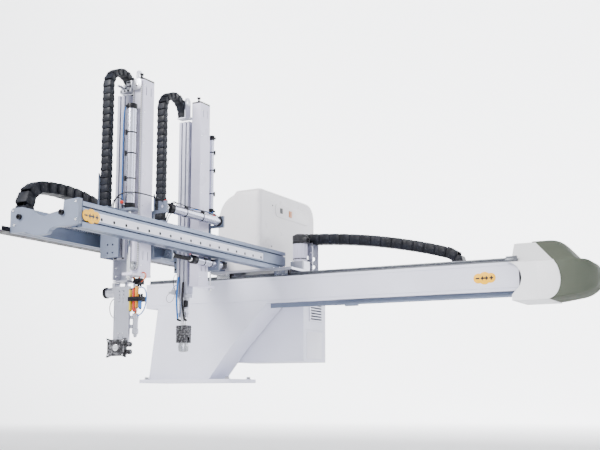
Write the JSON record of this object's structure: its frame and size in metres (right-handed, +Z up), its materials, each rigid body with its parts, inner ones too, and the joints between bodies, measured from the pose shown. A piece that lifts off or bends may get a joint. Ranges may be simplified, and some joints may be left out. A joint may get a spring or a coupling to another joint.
{
  "type": "servo manipulator",
  "caption": "Traverse take-out manipulator: beam on a pedestal, kick frame, two telescopic belt arms, flip wrist and sprue gripper.",
  "frame": {"origin": "centre of the base flange's bolt pattern, on its underside", "axes": "+X along the traverse beam towards the end cover, +Y from the kick frame's free end towards the beam, +Z up"},
  "size_m": [2.777, 2.498, 1.59],
  "materials": {
    "white_paint": "satin",
    "white_cover": "satin",
    "grey_cover": "satin",
    "column_white": "satin",
    "steel": "ground",
    "aluminium": "anodised",
    "strip_white": "matte",
    "grey_paint": "satin",
    "black_plastic": "matte",
    "black_metal": "satin",
    "belt_rubber": "matte",
    "red_hose": "satin",
    "blue_hose": "satin"
  },
  "bodies": {
    "base": {"base_flange": "white_paint", "pedestal": "white_paint", "traverse_beam": "white_paint", "traverse_guide_rails": "steel", "traverse_gear_rack": "steel", "beam_lip_rail": "aluminium", "chain_tray": "white_paint", "end_cover_white": "white_cover", "end_cover_grey": "grey_cover", "control_box": "white_paint", "control_box_vents": "white_paint", "traverse_cable_chain": "black_plastic"},
    "carriage": {"carriage_plate": "aluminium", "traverse_guide_blocks": "steel", "carriage_cover": "white_cover", "cover_screws": "black_metal", "front_kick_rail": "aluminium", "rear_kick_rail": "aluminium", "kick_guide_rails": "steel", "rail_cover_strip": "strip_white", "kick_end_plate": "aluminium", "kick_chain_tray": "grey_paint", "kick_cable_chain": "black_plastic", "chain_bracket": "aluminium", "traverse_motor": "black_metal", "traverse_gearbox": "black_metal"},
    "pinion": {"traverse_pinion": "steel"},
    "main_kick": {"main_carriage": "grey_paint", "main_guide_blocks": "steel", "main_lift_cylinder": "aluminium", "link_rods": "steel", "main_cable_chain": "black_plastic"},
    "main_stage": {"main_column": "column_white", "main_column_cap": "black_plastic", "main_lift_rod": "steel", "main_chain_bracket": "aluminium", "main_belt": "belt_rubber"},
    "top_pulley": {"main_top_pulley": "steel"},
    "bottom_pulley": {"main_bottom_pulley": "steel"},
    "main_end": {"main_ram": "aluminium", "wrist_bracket": "aluminium", "flip_actuator": "aluminium", "valve_manifold": "black_plastic", "wrist_hoses": "red_hose"},
    "flip": {"flip_arm": "aluminium", "gripper_chuck": "black_metal"},
    "sub_kick": {"sub_carriage": "grey_paint", "sub_guide_blocks": "steel", "sub_lift_cylinder": "aluminium", "link_cylinders": "aluminium", "sub_cable_chain": "black_plastic"},
    "sub_stage": {"sub_column": "column_white", "sub_column_cap": "black_plastic", "sub_lift_rod": "steel", "sub_chain_bracket": "aluminium"},
    "sub_end": {"sub_ram": "aluminium", "sprue_gripper_body": "black_metal", "sub_hoses": "blue_hose"},
    "finger_left": {"gripper_finger_left": "steel"},
    "finger_right": {"gripper_finger_right": "steel"}
  },
  "joints": [
    {"name": "traverse_slide", "type": "slide", "parent": "base", "child": "carriage", "axis": [1, 0, 0], "range_m": [-0.25, 1.25], "deforming": ["traverse_cable_chain"]},
    {"name": "traverse_pinion_spin", "type": "hinge", "parent": "carriage", "child": "pinion", "pos_m": [0.645, 0.14, 0.59], "axis": [0, 0, 1], "range_deg": [-2990, 600]},
    {"name": "kick_slide", "type": "slide", "parent": "carriage", "child": "main_kick", "axis": [0, 1, 0], "range_m": [-0.28, 0.24], "deforming": ["kick_cable_chain"]},
    {"name": "sub_kick_slide", "type": "slide", "parent": "main_kick", "child": "sub_kick", "axis": [0, 1, 0], "range_m": [0, 0.15]},
    {"name": "main_lift", "type": "slide", "parent": "main_kick", "child": "main_stage", "axis": [0, 0, -1], "range_m": [0, 0.48], "deforming": ["main_cable_chain"]},
    {"name": "main_ram_slide", "type": "slide", "parent": "main_stage", "child": "main_end", "axis": [0, 0, -1], "range_m": [0, 0.48]},
    {"name": "top_pulley_spin", "type": "hinge", "parent": "main_stage", "child": "top_pulley", "pos_m": [0.46, -1.248, 1.478], "axis": [0, 1, 0], "range_deg": [-1165, 0]},
    {"name": "bottom_pulley_spin", "type": "hinge", "parent": "main_stage", "child": "bottom_pulley", "pos_m": [0.46, -1.248, 0.56], "axis": [0, 1, 0], "range_deg": [-1165, 0]},
    {"name": "wrist_flip", "type": "hinge", "parent": "main_end", "child": "flip", "pos_m": [0.41, -1.24, 0.432], "axis": [1, 0, 0], "range_deg": [0, 90]},
    {"name": "sub_lift", "type": "slide", "parent": "sub_kick", "child": "sub_stage", "axis": [0, 0, -1], "range_m": [0, 0.38], "deforming": ["sub_cable_chain"]},
    {"name": "sub_ram_slide", "type": "slide", "parent": "sub_stage", "child": "sub_end", "axis": [0, 0, -1], "range_m": [0, 0.38]},
    {"name": "finger_left_turn", "type": "hinge", "parent": "sub_end", "child": "finger_left", "pos_m": [0.377, -0.714, 0.222], "axis": [0, 1, 0], "range_deg": [-3, 12]},
    {"name": "finger_right_turn", "type": "hinge", "parent": "sub_end", "child": "finger_right", "pos_m": [0.405, -0.714, 0.222], "axis": [0, 1, 0], "range_deg": [-12, 3]}
  ],
  "couplings": [
    {"joint": "traverse_pinion_spin", "follows": "traverse_slide", "rad_per_m": -41.667},
    {"joint": "main_ram_slide", "follows": "main_lift", "ratio": 1},
    {"joint": "top_pulley_spin", "follows": "main_lift", "rad_per_m": -42.194},
    {"joint": "bottom_pulley_spin", "follows": "main_lift", "rad_per_m": -42.194},
    {"joint": "sub_ram_slide", "follows": "sub_lift", "ratio": 1},
    {"joint": "finger_right_turn", "follows": "finger_left_turn", "ratio": -1}
  ]
}
